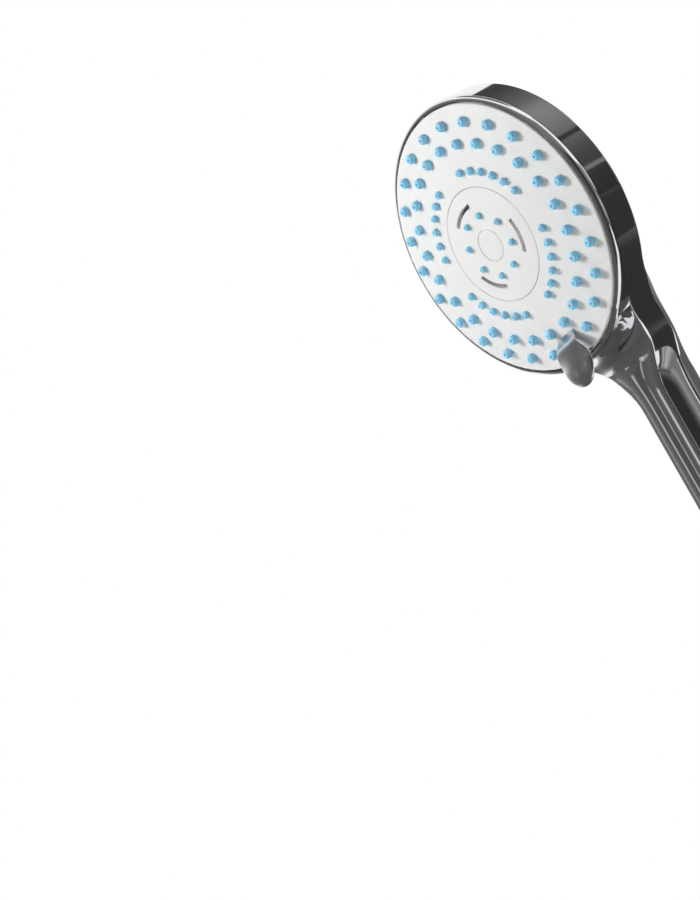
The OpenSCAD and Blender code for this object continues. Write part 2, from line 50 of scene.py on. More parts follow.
# places from the record
turnJoint = next(j for j in record["behaviour"]["joints"] if j["name"] == "selector_turn")
faceCentre = Vector(turnJoint["pos_m"]) / mm
sprayAxis = Vector(turnJoint["axis"]).normalized()
tilt = asin(-sprayAxis.z)
axisBack = -faceCentre.y / cos(tilt)          # rim plane to the handle's axis
axisZ = faceCentre.z + axisBack * sin(tilt)
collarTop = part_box("handle_collar")[1][2] / mm
across = Vector((1, 0, 0))
headFrame = Matrix((across, sprayAxis.cross(across), sprayAxis)).transposed().to_4x4()
headFrame.translation = faceCentre


def toRow(x, y, z):
    # a point of the head's own frame, in mm, to the row frame in metres
    return (headFrame @ Vector((x, y, z))) * mm


camera = {"place": (813.51, -697.23, -50.16), "turn": (101.9451, 28.2990, 61.0193), "lens": 120}
cameraData = bpy.data.cameras.new("camera")
cameraData.lens = camera["lens"]
cameraData.sensor_width = 36
cameraData.clip_start = 0.01
cameraData.clip_end = 20
cameraObject = bpy.data.objects.new("camera", cameraData)
cameraObject.location = Vector(camera["place"]) * mm
cameraObject.rotation_euler = [radians(a) for a in camera["turn"]]
bpy.context.scene.collection.objects.link(cameraObject)
bpy.context.scene.camera = cameraObject
print("camera placed")


def linear(hexColour):
    parts = [int(hexColour[i:i + 2], 16) / 255 for i in (1, 3, 5)]
    return [p / 12.92 if p <= 0.04045 else ((p + 0.055) / 1.055) ** 2.4 for p in parts] + [1]


def addNode(owner, kind, settings=None, links=None):
    # adds a node, sets attributes or sockets by name, and links named sockets from other outputs
    node = owner.node_tree.nodes.new(kind)
    for name, value in (settings or {}).items():
        if isinstance(name, str) and hasattr(node, name):
            setattr(node, name, value)
        else:
            node.inputs[name].default_value = value
    for name, output in (links or {}).items():
        owner.node_tree.links.new(output, node.inputs[name])
    return node


def newMaterial(name):
    material = bpy.data.materials.new(name)
    material.use_nodes = True
    material.node_tree.nodes.clear()
    return material


def finishMaterial(material, shader):
    addNode(material, "ShaderNodeOutputMaterial", None, {"Surface": shader.outputs[0]})
    return material


def perMetre(size):
    # the noise scale whose spots are this many mm across
    return 1 / (size * mm)


def platedChrome(name, colour, clean, smudge, peelDepth):
    # bright plate: mirror-like, with wipe marks a finger wide, and the slow ripple of the part below it
    material = newMaterial(name)
    where = addNode(material, "ShaderNodeTexCoord").outputs["Object"]
    wipes = addNode(material, "ShaderNodeTexNoise", {"Scale": perMetre(22.22), "Detail": 6, "Roughness": 0.6},
                    {"Vector": where}).outputs["Fac"]
    rough = addNode(material, "ShaderNodeMapRange",
                    {"From Min": 0.35, "From Max": 0.75, "To Min": clean, "To Max": smudge}, {"Value": wipes})
    peel = addNode(material, "ShaderNodeTexNoise", {"Scale": perMetre(6.25), "Detail": 2}, {"Vector": where})
    bump = addNode(material, "ShaderNodeBump", {"Strength": 0.05, "Distance": peelDepth},
                   {"Height": peel.outputs["Fac"]})
    shader = addNode(material, "ShaderNodeBsdfPrincipled", {"Base Color": linear(colour), "Metallic": 1},
                     {"Roughness": rough.outputs[0], "Normal": bump.outputs[0]})
    return finishMaterial(material, shader)


def mouldedPolymer(name, colour, shade, roughness, grain, depth, extra=None):
    # moulded polymer: nearly even colour that drifts slowly, and the spark-eroded grain of its mould, which
    # is about 0.1 mm across and is drawn ten times as coarse to show
    material = newMaterial(name)
    where = addNode(material, "ShaderNodeTexCoord").outputs["Object"]
    slow = addNode(material, "ShaderNodeTexNoise", {"Scale": perMetre(33.33), "Detail": 3},
                   {"Vector": where}).outputs["Fac"]
    tint = addNode(material, "ShaderNodeMix",
                   {"data_type": "RGBA", 6: linear(colour), 7: linear(shade)}, {0: slow}).outputs[2]
    fine = addNode(material, "ShaderNodeTexNoise", {"Scale": perMetre(grain), "Detail": 2}, {"Vector": where})
    rough = addNode(material, "ShaderNodeMapRange", {"To Min": roughness - 0.04, "To Max": roughness + 0.06},
                    {"Value": slow})
    bump = addNode(material, "ShaderNodeBump", {"Strength": 0.15, "Distance": depth},
                   {"Height": fine.outputs["Fac"]})
    shader = addNode(material, "ShaderNodeBsdfPrincipled", {"IOR": 1.49, **(extra or {})},
                     {"Base Color": tint, "Roughness": rough.outputs[0], "Normal": bump.outputs[0]})
    return finishMaterial(material, shader)


# Bright chrome plate on ABS and on brass is a hard mirror; the moulded ABS below ripples it slightly more
chromePlate = platedChrome("chromePlatedAbs", "#ebecee", 0.03, 0.09, 0.00004)
# The lever has a softer, satin plate that spreads what it reflects
satinPlate = platedChrome("satinPlate", "#e8e9eb", 0.22, 0.29, 0.00002)
platedBrass = platedChrome("chromePlatedBrass", "#e2e3e4", 0.06, 0.14, 0.00002)
# Turned stainless steel: brushed by the tool, so its mirror is soft
stainless = platedChrome("turnedStainlessSteel", "#bcbdbf", 0.2, 0.32, 0.00003)
# Pale grey ABS, gloss moulded: even and clean, with a soft sheen
paleAbs = mouldedPolymer("paleGreyAbs", "#ebebe9", "#e5e5e3", 0.34, 1.111, 0.00002, {"Coat Weight": 0.15})
# Acetal: waxy off-white; nitrile rubber: dull black with a coarser grain
whitePom = mouldedPolymer("whiteAcetal", "#f0f0ea", "#e6e6df", 0.42, 1.111, 0.00002)
blackRubber = mouldedPolymer("blackNitrileRubber", "#1b1c1d", "#262728", 0.7, 2.0, 0.00004)
# Silicone rubber: light blue, soft gloss, and light that scatters a little below its surface
siliconeBlue = mouldedPolymer("lightBlueSilicone", "#a4def8", "#8bd2f4", 0.4, 1.429, 0.00003,
                              {"IOR": 1.41, "Subsurface Weight": 0.15, "Subsurface Scale": 0.0012,
                               "Subsurface Radius": (0.3, 0.7, 1.0)})
print("materials made")


def mix(a, b, t):
    return a + (b - a) * t


def clamp01(t):
    return min(1, max(0, t))


def step(a, b, x):
    t = clamp01((x - a) / (b - a))
    return t * t * (3 - 2 * t)


def selectOnly(*pieces):
    bpy.ops.object.select_all(action="DESELECT")
    for piece in pieces:
        piece.select_set(True)
    bpy.context.view_layer.objects.active = pieces[0]


def smooth(piece, angle):
    selectOnly(piece)
    bpy.ops.object.shade_smooth_by_angle(angle=radians(angle))


def meshPiece(name, points, faces, material, angle):
    data = bpy.data.meshes.new(name)
    data.from_pydata(points, [], faces)
    piece = bpy.data.objects.new(name, data)
    bpy.context.scene.collection.objects.link(piece)
    data.materials.append(material)
    smooth(piece, angle)
    return piece


def place(piece, body, slot, *nodes):
    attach(piece, body)
    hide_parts(*nodes)


# Shape of the chrome body: half widths and heights by the drop d below the face's centre. Heights
# are in front of the handle's axis, and t draws a wall inwards.
shell = {"rimR": 54.0, "openingR": 52.2, "rimFall": 2.1, "sideDepth": 11.5, "backDome": 15.4, "wall": 2.2,
         "handleR": 12.5, "footR": 12.1, "footGap": 0.3, "stripR": 8.3, "stripHeight": 8.1, "stripCrown": 1.4,
         "handleSide": 8.3, "flareR": 38.0, "lip": 0.6, "seam": 0.1, "scoopWidth": 9.0, "coverWall": 2.0,
         "domeInset": 0.5, "neckPinch": 0.3, "cornerR": 1.2, "innerCornerR": 0.8}
# drops between which one form goes over into the next
bands = {"edge": (36, 64), "strip": (58, 80), "side": (60, 82), "crown": (48, 72), "lean": (72, 110),
         "taper": 110, "foot": 115, "spine": 55, "roundBack": 38, "flatBack": 77, "scoop": 72}
rimR, handleR, footR, stripR, flareR = (shell[k] for k in ("rimR", "handleR", "footR", "stripR", "flareR"))
footDrop = (axisZ - collarTop - shell["footGap"]) * cos(tilt)
flareX = handleR + flareR
flareDrop = sqrt((rimR + flareR) ** 2 - flareX ** 2)
footEdge = sqrt(footR ** 2 - stripR ** 2)


def axisDepth(d):
    # height of the handle's axis over the rim's plane at a drop, below 0 where it lies behind
    return -axisBack + d * tan(tilt)


def outline(d, t=0):
    # half width: the head's circle, then the flare's arc, then the handle with its slight taper
    if d < flareDrop * (rimR - t) / (rimR + flareR):
        return sqrt(max(0, (rimR - t) ** 2 - d * d))
    if d < flareDrop:
        return flareX - sqrt((flareR + t) ** 2 - (flareDrop - d) ** 2)
    return mix(handleR, footR, step(bands["taper"], footDrop, d)) - t


def footMix(d):
    return step(bands["foot"], footDrop, d)


def edgeH(d):
    # height of the seam between front cover and rear shell
    handleEdge = mix(shell["stripHeight"], footEdge, footMix(d))
    return mix(-shell["rimFall"] - axisDepth(d), handleEdge, step(*bands["edge"], d))


def edgeX(d, t=0):
    # half width at that seam: all of the head, and only the strip on the handle
    return outline(d, t) - (handleR - stripR) * step(*bands["strip"], d) + (handleR - footR) * footMix(d)


def sideH(d):
    # height where the side turns into the back
    side = mix(shell["sideDepth"], shell["handleSide"], step(*bands["side"], d))
    return edgeH(d) - mix(side, footEdge, footMix(d))


def spineH(d):
    # height of the back's middle line: a dome above, one smooth curve down to the handle's round back
    r = rimR - shell["domeInset"]
    back, end = -shell["rimFall"] - shell["sideDepth"], bands["spine"]
    if d < 0:
        return back - shell["backDome"] * (1 - d * d / (r * r)) - axisDepth(d)
    if d < end:
        u = d / end
        p0, p1, m1 = back - shell["backDome"], axisDepth(end) - handleR, tan(tilt) * end
        z = p0 * (2 * u ** 3 - 3 * u * u + 1) + p1 * (3 * u * u - 2 * u ** 3) + m1 * (u ** 3 - u * u)
        return z - axisDepth(d)
    return -mix(handleR, footR, footMix(d))


def backPower(d):
    # how full the back's section is: a dome at 1, pinched in the neck, and a half circle at 0.5
    start, end, pinch = bands["roundBack"], bands["flatBack"], shell["neckPinch"]
    if d < start:
        return 1 + pinch * step(0, start, d)
    return mix(1 + pinch, 0.5, clamp01((d - start) / (end - start)))


def bodyPoint(x, d, h):
    # from half width, drop and height to the row frame: cuts lie square to the face, then to the handle
    lean = tilt * (1 - step(*bands["lean"], d))
    return Vector((x, -h * cos(lean), axisZ - d / cos(tilt) - h * sin(lean))) * mm


def crown(d):
    # how far the front strip stands out in its middle
    neck = shell["stripCrown"] * edgeX(d) / stripR * step(*bands["crown"], d)
    return mix(neck, footR - footEdge, footMix(d))


def stripH(x, d):
    return edgeH(d) + crown(d) * (1 - (x / edgeX(d)) ** 2)


def scoop(x, d):
    # 1 at the rim, falling to 0 where the hollow below the rim ends
    reach = hypot(outline(d), d) - rimR
    width = max(0.5, min(shell["scoopWidth"], reach))
    return 0 if d > bands["scoop"] else (1 - clamp01((hypot(x, d) - rimR) / width)) ** 2


def frontH(x, d):
    return mix(stripH(x, d), -shell["rimFall"] - axisDepth(d), scoop(x, d))


def roundedCorner(before, corner, after, radius, steps=4):
    # points of a curve that rounds a corner of a 2-D path
    def towards(p):
        share = min(0.9, radius / hypot(p[0] - corner[0], p[1] - corner[1]))
        return [mix(corner[i], p[i], share) for i in (0, 1)]
    a, b = towards(before), towards(after)
    return [[(1 - t) ** 2 * a[i] + 2 * t * (1 - t) * corner[i] + t * t * b[i] for i in (0, 1)]
            for t in [k / steps for k in range(steps + 1)]]


def ringTube(rings, firstEnd=True):
    # closed solid from rings that each run round an outer path and back along an inner one; a first ring
    # that is flat needs no end
    n, last = len(rings[0]), len(rings) - 1
    points = [p for ring in rings for p in ring]
    faces = []
    for k in range(last):
        for j in range(n):
            i, a, b = (j + 1) % n, k * n, (k + 1) * n
            faces.append((a + i, a + j, b + j, b + i))
    half = n // 2
    for j in range(half - 1):
        i = n - 1 - j
        if firstEnd:
            faces.append((j, j + 1, i - 1, i))
        b = last * n
        faces.append((b + j + 1, b + j, b + i, b + i - 1))
    return points, faces


# where the rear shell is cut across: round the head by angle from its top, then down it by drop
cuts = {"nearTop": (0, 0.6, 1.4, 2.6, 4), "round": range(6, 147, 2), "flare": (48, 80), "flareSteps": 40,
        "handleFrom": 82, "handleSteps": 30, "sideSteps": 10, "backSteps": 24}


def shellPath(station, t):
    # half a cross-section as (x, drop, height), drawn in by t, from the front edge to the spine
    angle, d = station
    if angle is not None:
        d = -(rimR - t) * cos(angle)
    x0, x1 = edgeX(d, t), outline(d, t)
    h0, h1 = edgeH(d) - shell["lip"] - shell["seam"], sideH(d)
    hm = mix(h0, h1, 0.5)
    n = cuts["sideSteps"]
    side = [[mix(mix(x0, x1, u), x1, u), mix(mix(h0, hm, u), mix(hm, h1, u), u)]
            for u in [k / n for k in range(n + 1)]]
    n = cuts["backSteps"]
    rise = h1 - spineH(d) - t
    back = [[x1 * cos(a), h1 - rise * sin(a) ** (2 * backPower(d))]
            for a in [radians(90 * k / n) for k in range(1, n + 1)]]
    corner = roundedCorner(side[-2], side[-1], back[0], shell["innerCornerR" if t else "cornerR"])
    half = [(x, d, h) for x, h in side[:-1] + corner + back]
    return half + [(-x, d, h) for x, d, h in reversed(half[:-1])]


def buildRearShell():
    stations = [(radians(a), None) for a in (*cuts["nearTop"], *cuts["round"])]
    n = cuts["flareSteps"]
    stations += [(None, mix(*cuts["flare"], k / n)) for k in range(n + 1)]
    n = cuts["handleSteps"]
    stations += [(None, mix(cuts["handleFrom"], footDrop, k / n)) for k in range(n + 1)]
    rings = [[bodyPoint(*p) for p in shellPath(s, 0) + shellPath(s, shell["wall"])[::-1]] for s in stations]
    piece = meshPiece("rearShell", *ringTube(rings, False), chromePlate, 40)
    # the first ring is flat, so its two sides are merged and the wall is closed at the top
    selectOnly(piece)
    bpy.ops.object.mode_set(mode="EDIT")
    bpy.ops.mesh.select_all(action="SELECT")
    bpy.ops.mesh.remove_doubles(threshold=0.000002)
    bpy.ops.object.mode_set(mode="OBJECT")
    place(piece, "handset", "chrome_abs", "rear_shell")


buildRearShell()
print("rear shell made")

# Front cover: rim, scoop and front strip in one
cover = {"columns": 48, "rowsInNeck": 52, "rowsInHandle": 34, "flareEnd": 71.0, "handleFrom": 72,
         "edgeCrowd": 0.35, "rimCrowd": 1.35, "rimSteps": 288, "rimLap": 0.25, "sleeveDepth": 7,
         "sleeveWall": 0.6, "lap": 3, "lapFrom": 49, "edgeRound": 0.7, "edgeRoom": 2.4, "edgeFloor": 0.02}
arcHalf = asin(outline(flareDrop * rimR / (rimR + flareR)) / rimR)


def neckPoint(q, v):
    # plan point of column share q between the rim, v = 0, and the end of the flare, v = 1
    r = rimR - cover["rimLap"]
    b = arcHalf * q
    d0 = r * cos(b)
    w0 = q if abs(q) == 1 else r * sin(b) / outline(d0)
    d = mix(d0, cover["flareEnd"], v)
    return edgeX(d) * mix(w0, q, v), d


def coverRing(row):
    # front of the cover across one row with rounded edges, then back along its inner side
    r = cover["edgeRound"]
    (left, dl), (right, dr) = row[0], row[-1]
    squeeze = 1 - cover["edgeRoom"] * r / (right - left)
    turn = [radians(90 * k / 4) for k in range(5)]
    path = [(left + r * (1 - cos(a)), dl, edgeH(dl) - r + r * sin(a)) for a in turn]
    path += [(x * squeeze, d, frontH(x * squeeze, d)) for x, d in row[1:-1]]
    path += [(right - r * (1 - cos(a)), dr, edgeH(dr) - r + r * sin(a)) for a in reversed(turn)]
    last, low = len(path) - 1, r + cover["edgeFloor"]
    under = [(x, d, edgeH(d) - low if j < 3 or j > last - 3 else stripH(x, d) - shell["coverWall"])
             for j, (x, d, h) in enumerate(path)]
    return [bodyPoint(*p) for p in path + under[::-1]]


def rimRing(b):
    # section of the rim at the angle b from the bottom: rounded front, sleeve, outer wall down to the shell
    def low(r):
        d = r * cos(b)
        return edgeH(d) + axisDepth(d) - (shell["lip"] if rimR * cos(b) < cover["lapFrom"] else cover["lap"])
    inner, fall = shell["openingR"], shell["rimFall"]
    front = rimR - inner
    path = [(inner + front * cos(radians(a)), -fall + front * sin(radians(a))) for a in range(0, 91, 10)]
    deep, sleeveR = -cover["sleeveDepth"], inner + cover["sleeveWall"]
    path += [(inner, deep), (sleeveR, deep), (sleeveR, low(sleeveR)), (rimR, low(rimR))]
    return [toRow(x * sin(b), -x * cos(b), z) for x, z in path]


def buildFrontCover():
    # neck and strip in rows that crowd towards the rim, points that crowd towards the sides, and the rim
    # as a ring of its own
    n = cover["columns"]
    shares = [mix(q, sin(pi / 2 * q), cover["edgeCrowd"]) for q in [-1 + 2 * k / n for k in range(n + 1)]]
    n = cover["rowsInNeck"]
    rows = [[neckPoint(q, (k / n) ** cover["rimCrowd"]) for q in shares] for k in range(n + 1)]
    n = cover["rowsInHandle"]
    drops = [mix(cover["handleFrom"], footDrop, k / n) for k in range(n + 1)]
    rows += [[(q * edgeX(d), d) for q in shares] for d in drops]
    points, faces = ringTube([coverRing(row) for row in rows])
    rings = [rimRing(2 * pi * k / cover["rimSteps"]) for k in range(cover["rimSteps"])]
    start, m = len(points), len(rings[0])
    points += [p for ring in rings for p in ring]
    for k in range(cover["rimSteps"]):
        a, b = start + m * k, start + m * ((k + 1) % cover["rimSteps"])
        faces += [(a + j, b + j, b + (j + 1) % m, a + (j + 1) % m) for j in range(m)]
    piece = meshPiece("frontCover", points, faces, chromePlate, 40)
    place(piece, "handset", "chrome_abs", "front_cover")


buildFrontCover()
print("front cover made")

headToRow = Matrix.Scale(mm, 4) @ headFrame      # from the head's frame in mm
rowToMetres = Matrix.Scale(mm, 4)


def startPiece(name, material):
    piece = bpy.context.active_object
    piece.name = piece.data.name = name
    piece.data.materials.append(material)
    return piece


def spun(name, profile, steps, material, angle=2 * pi):
    # a ring of points is moved to a closed profile of (radius, height) in mm and spun round Z
    bpy.ops.object.select_all(action="DESELECT")
    bpy.ops.mesh.primitive_circle_add(vertices=len(profile), radius=1)
    piece = startPiece(name, material)
    for v, (r, z) in zip(piece.data.vertices, profile):
        v.co = (r, 0, z)
    full = angle == 2 * pi
    bpy.ops.object.mode_set(mode="EDIT")
    bpy.ops.mesh.select_all(action="SELECT")
    if not full:
        bpy.ops.mesh.edge_face_add()
    bpy.ops.mesh.spin(steps=steps, angle=angle, center=(0, 0, 0), axis=(0, 0, 1))
    bpy.ops.mesh.select_all(action="SELECT")
    bpy.ops.mesh.remove_doubles(threshold=0.0005)
    bpy.ops.mesh.normals_make_consistent(inside=False)
    bpy.ops.object.mode_set(mode="OBJECT")
    return piece


def arc(r, z, radius, start, end, count):
    # points of a rounded corner round (r, z), by angle from +r towards +z
    return [(r + radius * cos(radians(a)), z + radius * sin(radians(a)))
            for a in [mix(start, end, k / count) for k in range(count + 1)]]


def cutAway(piece, cutter):
    selectOnly(piece)
    cut = piece.modifiers.new("cut", "BOOLEAN")
    cut.operation, cut.solver, cut.object = "DIFFERENCE", "EXACT", cutter
    bpy.ops.object.modifier_apply(modifier=cut.name)
    bpy.data.objects.remove(cutter)


def seat(piece, home):
    # from the frame it was drawn in to its place in the row frame
    piece.data.transform(home)
    piece.data.update()


# Spray face: a dome with a rounded edge and a skirt that turns inside the rim
face = {"dome": 6.0, "domeOuter": 52.2, "edgeR": 51.6, "edgeRound": 0.7, "insertR": 22.0, "gap": 0.12,
        "holeRound": 0.25, "skin": 2.2, "skirt": -7.0, "skirtWall": 0.8, "matGap": 0.05}
domeR = (face["domeOuter"] ** 2 + face["dome"] ** 2) / (2 * face["dome"])


def domeZ(r):
    return face["dome"] - domeR + sqrt(domeR * domeR - r * r)


def domeLine(a, b, count, drop=0.0):
    return [(r, domeZ(r) - drop) for r in [mix(a, b, k / count) for k in range(count + 1)]]


def domedRing(inner, outer, skin, innerRound, outerRound, count):
    # closed profile of a domed sheet whose two front edges are rounded
    path = [(inner + innerRound * (1 - sin(radians(a))), domeZ(inner) - innerRound * (1 - cos(radians(a))))
            for a in (90, 60, 30)]
    path += domeLine(inner + innerRound, outer - outerRound, count)
    path += arc(outer - outerRound, domeZ(outer - outerRound) - outerRound, outerRound, 75, 0, 5)
    return path + domeLine(outer, inner, count // 2, skin)


edge, holeR, skin = face["edgeR"], face["insertR"] + face["gap"] / 2, face["skin"]
skirtR = edge - face["skirtWall"]
sheetProfile = domedRing(holeR, edge, skin, face["holeRound"], face["edgeRound"], 30)
faceProfile = [p for p in sheetProfile if p[1] > domeZ(p[0]) - skin / 2]
faceProfile += [(edge, face["skirt"]), (skirtR, face["skirt"]), (skirtR, domeZ(skirtR) - skin)]
faceProfile += domeLine(skirtR - 1, holeR, 15, skin)
sprayFace = spun("sprayFace", faceProfile, 288, paleAbs)
seat(sprayFace, headToRow)
smooth(sprayFace, 30)
place(sprayFace, "spray_head", "pale_abs", "faceplate")

# Insert in the middle, with three arc slots, and the cap over the pivot screw
insert = {"outer": 21.9, "edgeRound": 0.25, "capR": 6.0, "capGap": 0.1, "holeRound": 0.2, "skin": 2.2,
          "slotR": 15.2, "slotWidth": 1.7, "slotSpan": 46, "slotAngles": (30, 150, 270)}
insertProfile = domedRing(insert["capR"] + insert["capGap"], insert["outer"], insert["skin"],
                          insert["holeRound"], insert["edgeRound"], 14)
centreInsert = spun("centreInsert", insertProfile, 192, paleAbs)
for angle in insert["slotAngles"]:
    r0, r1 = insert["slotR"], insert["slotR"] + insert["slotWidth"]
    cutProfile = [(r0, -2), (r1, -2), (r1, 9), (r0, 9)]
    slot = spun("slotCutter", cutProfile, 24, paleAbs, radians(insert["slotSpan"]))
    slot.data.transform(Matrix.Rotation(radians(angle - insert["slotSpan"] / 2), 4, "Z"))
    cutAway(centreInsert, slot)
seat(centreInsert, headToRow)
smooth(centreInsert, 30)
place(centreInsert, "spray_head", "pale_abs", "centre_insert")

cap = {"outer": insert["capR"], "edgeRound": 0.35, "low": 4.1, "wall": 1.0, "skin": 0.9, "pole": 0.001}
outer, rounding, inner = cap["outer"], cap["edgeRound"], cap["outer"] - cap["wall"]
capProfile = [(cap["pole"], domeZ(0))] + domeLine(0.4, outer - rounding, 8)
capProfile += arc(outer - rounding, domeZ(outer) - rounding, rounding, 75, 0, 4)
capProfile += [(outer, cap["low"]), (inner, cap["low"]), (inner, domeZ(inner) - cap["skin"])]
capProfile += [(cap["pole"], domeZ(0) - cap["skin"])]
centreCap = spun("centreCap", capProfile, 96, paleAbs)
seat(centreCap, headToRow)
smooth(centreCap, 35)
place(centreCap, "spray_head", "pale_abs", "centre_cap")

# Nozzles: each kind is modelled once, as a bead on a short neck with a small hole, and copied round its
# rings of (radius, angles). Its size is a share of the bead's radii and of its heights over the face, and
# its mat is (outer radius, inner radius, thickness).
bead = [(1.72, -2.7), (1.74, -0.4), (1.8, 0.1), (1.88, 0.6), (1.9, 1.1), (1.83, 1.55), (1.66, 1.95),
        (1.4, 2.24), (1.08, 2.42), (0.74, 2.5), (0.5, 2.5), (0.42, 2.46), (0.38, 2.36), (0.36, 1.0),
        (0.001, 1.0), (0.001, -2.7)]
leverPlace, mistStep = 18, 11.15
outerRing = [15 * k for k in range(24) if k != leverPlace]
secondRing = [15 * (k + 0.5) for k in range(24)]
mistGroups = [q + mistStep * (k - 2.5) for q in (45, 135, 225, 315) for k in range(6)]
centreRing = [45 * (k + 0.5) for k in range(8)]
nozzles = {
    "rainNozzles": {"node": "rain_nozzles", "size": (1.0, 1.0), "steps": 32, "mat": (49.8, 33.3, 1.3),
                    "rings": [(45.6, outerRing), (38.1, secondRing)]},
    "mistNozzles": {"node": "mist_nozzles", "size": (0.76, 0.76), "steps": 26, "mat": (32.8, 22.3, 1.3),
                    "rings": [(28.0, mistGroups)]},
    "centreNozzles": {"node": "centre_nozzles", "size": (0.66, 0.64), "steps": 24, "mat": (14.6, 8.4, 1.0),
                      "rings": [(11.6, centreRing)]},
}
for name, kind in nozzles.items():
    wide, tall = kind["size"]
    profile = [(r * wide, z * tall if z > 0 else z) for r, z in bead]
    pattern = spun(name + "Pattern", profile, kind["steps"], siliconeBlue)
    outer, inner, thick = kind["mat"]
    top = face["skin"] + face["matGap"]
    matProfile = domeLine(inner, outer, 8, top) + domeLine(outer, inner, 8, top + thick)
    mat = spun(name, matProfile, 96, siliconeBlue)
    copies = []
    for radius, angles in kind["rings"]:
        for angle in angles:
            copy = pattern.copy()
            copy.data = pattern.data.copy()
            bpy.context.scene.collection.objects.link(copy)
            onFace = Matrix.Translation((radius, 0, domeZ(radius)))
            copy.data.transform(Matrix.Rotation(radians(angle), 4, "Z") @ onFace)
            copies.append(copy)
    bpy.data.objects.remove(pattern)
    selectOnly(mat, *copies)
    bpy.ops.object.join()
    seat(mat, headToRow)
    smooth(mat, 60)
    place(mat, "spray_head", "blue_silicone", kind["node"])
print("spray face and nozzles made")

# Thumb lever: rings scaled from the plan towards its middle make a crowned plate, then a short wall below.
# The plan widens from a straight root on the face to a round tip past the rim.
lever = {"root": 41.0, "halfWidth": 9.0, "tip": 61.0, "lean": 24, "rings": 40,
         "crownDrop": 2.2, "crownLeast": 0.3, "crownPower": 2.0, "edge": 0.4, "undercut": 0.8, "angle": 270,
         "bendR": 45.1, "bendZ": 5.9, "ramp": 0.86, "slope": 0.3, "sag": 0.0045, "bendRound": 0.12,
         "sunk": 0.2, "sunkTo": 51.0, "under": [(51.3, 3.6), (54.0, 5.0), (62.0, 5.9)]}
leverMiddle = lever["tip"] - lever["halfWidth"]


def along(rows, r):
    # value at r of a line through rows of (radius, value)
    for (r0, z0), (r1, z1) in zip(rows, rows[1:]):
        if r <= r1:
            return mix(z0, z1, clamp01((r - r0) / (r1 - r0)))
    return rows[-1][1]


def leverTop(r):
    # a ramp up from the face turns, over a small round, into a nearly flat top that sags a little to the tip
    out = r - lever["bendR"]
    ramp = lever["ramp"] * out
    top = lever["slope"] * out - lever["sag"] * out * abs(out)
    return lever["bendZ"] + (ramp + top) / 2 - sqrt(((ramp - top) / 2) ** 2 + lever["bendRound"] ** 2)


def leverPlan():
    wide, lean = lever["halfWidth"], lever["lean"]
    tip = arc(leverMiddle, 0, wide, -90, 90, 36)
    side = arc(leverMiddle, 0, wide, 90, 90 + lean, 8)[1:]
    r, y = side[-1]
    rootHalf = y - (r - lever["root"]) * tan(radians(lean))
    flank = [(mix(r, lever["root"], k / 10), mix(y, rootHalf, k / 10)) for k in range(1, 11)]
    foot = [(lever["root"], mix(rootHalf, -rootHalf, k / 12)) for k in range(1, 12)]
    return tip + side + flank + foot + [(r, -y) for r, y in (side + flank)[::-1]]


plan = leverPlan()
bpy.ops.object.select_all(action="DESELECT")
bpy.ops.mesh.primitive_grid_add(x_subdivisions=lever["rings"], y_subdivisions=len(plan), size=2)
selectorLever = startPiece("selectorLever", satinPlate)
for v in selectorLever.data.vertices:
    share = sin((v.co.x + 1) / 2 * pi / 2)
    r, y = plan[round((v.co.y + 1) / 2 * len(plan)) % len(plan)]
    r, y = mix(leverMiddle, r, share), y * share
    fall = lever["crownDrop"] * step(lever["bendR"], leverMiddle, r) + lever["crownLeast"]
    v.co = (r, y, leverTop(r) - fall * (1 - sqrt(max(0, 1 - share ** lever["crownPower"]))))
bpy.ops.object.mode_set(mode="EDIT")
bpy.ops.mesh.select_all(action="SELECT")
bpy.ops.mesh.remove_doubles(threshold=0.001)
bpy.ops.mesh.extrude_region_move(TRANSFORM_OT_translate={"value": (0, 0, -lever["edge"])})
bpy.ops.object.mode_set(mode="OBJECT")
for v in selectorLever.data.vertices:
    if v.select:
        inFace = v.co.x < lever["sunkTo"]
        low = domeZ(v.co.x) - lever["sunk"] if inFace else along(lever["under"], v.co.x)
        v.co = (mix(leverMiddle, v.co.x, lever["undercut"]), v.co.y * lever["undercut"], min(v.co.z, low))
bpy.ops.object.mode_set(mode="EDIT")
bpy.ops.mesh.select_all(action="SELECT")
bpy.ops.mesh.normals_make_consistent(inside=False)
bpy.ops.object.mode_set(mode="OBJECT")
seat(selectorLever, headToRow @ Matrix.Rotation(radians(lever["angle"]), 4, "Z"))
smooth(selectorLever, 40)
place(selectorLever, "spray_head", "chrome_abs", "selector_lever")
print("lever made")

# Collar at the foot of the handle, with two spanner flats
collar = {"low": 14.5, "outer": 12.1, "inner": 9.65, "lowRound": 1.0, "topRound": 0.25,
          "flatX": 11.5, "flatHalf": 5, "flatTop": 17, "cutDeep": 3, "cutTall": 6}
low, outer, lowRound, topRound = (collar[k] for k in ("low", "outer", "lowRound", "topRound"))
collarProfile = [(collar["inner"], low)] + arc(outer - lowRound, low + lowRound, lowRound, -90, 0, 8)
collarProfile += arc(outer - topRound, collarTop - topRound, topRound, 0, 90, 4)
collarProfile += [(collar["inner"], collarTop)]
handleCollar = spun("handleCollar", collarProfile, 160, chromePlate)
for side in (-1, 1):
    bpy.ops.object.select_all(action="DESELECT")
    cutAt = (side * (collar["flatX"] + collar["cutDeep"] / 2), 0, collar["flatTop"] - collar["cutTall"] / 2)
    bpy.ops.mesh.primitive_cube_add(size=1, location=cutAt,
                                    scale=(collar["cutDeep"], 2 * collar["flatHalf"], collar["cutTall"]))
    bpy.ops.object.transform_apply(location=True, rotation=True, scale=True)
    cutAway(handleCollar, bpy.context.active_object)
seat(handleCollar, rowToMetres)
smooth(handleCollar, 35)
place(handleCollar, "handset", "chrome_abs", "handle_collar")

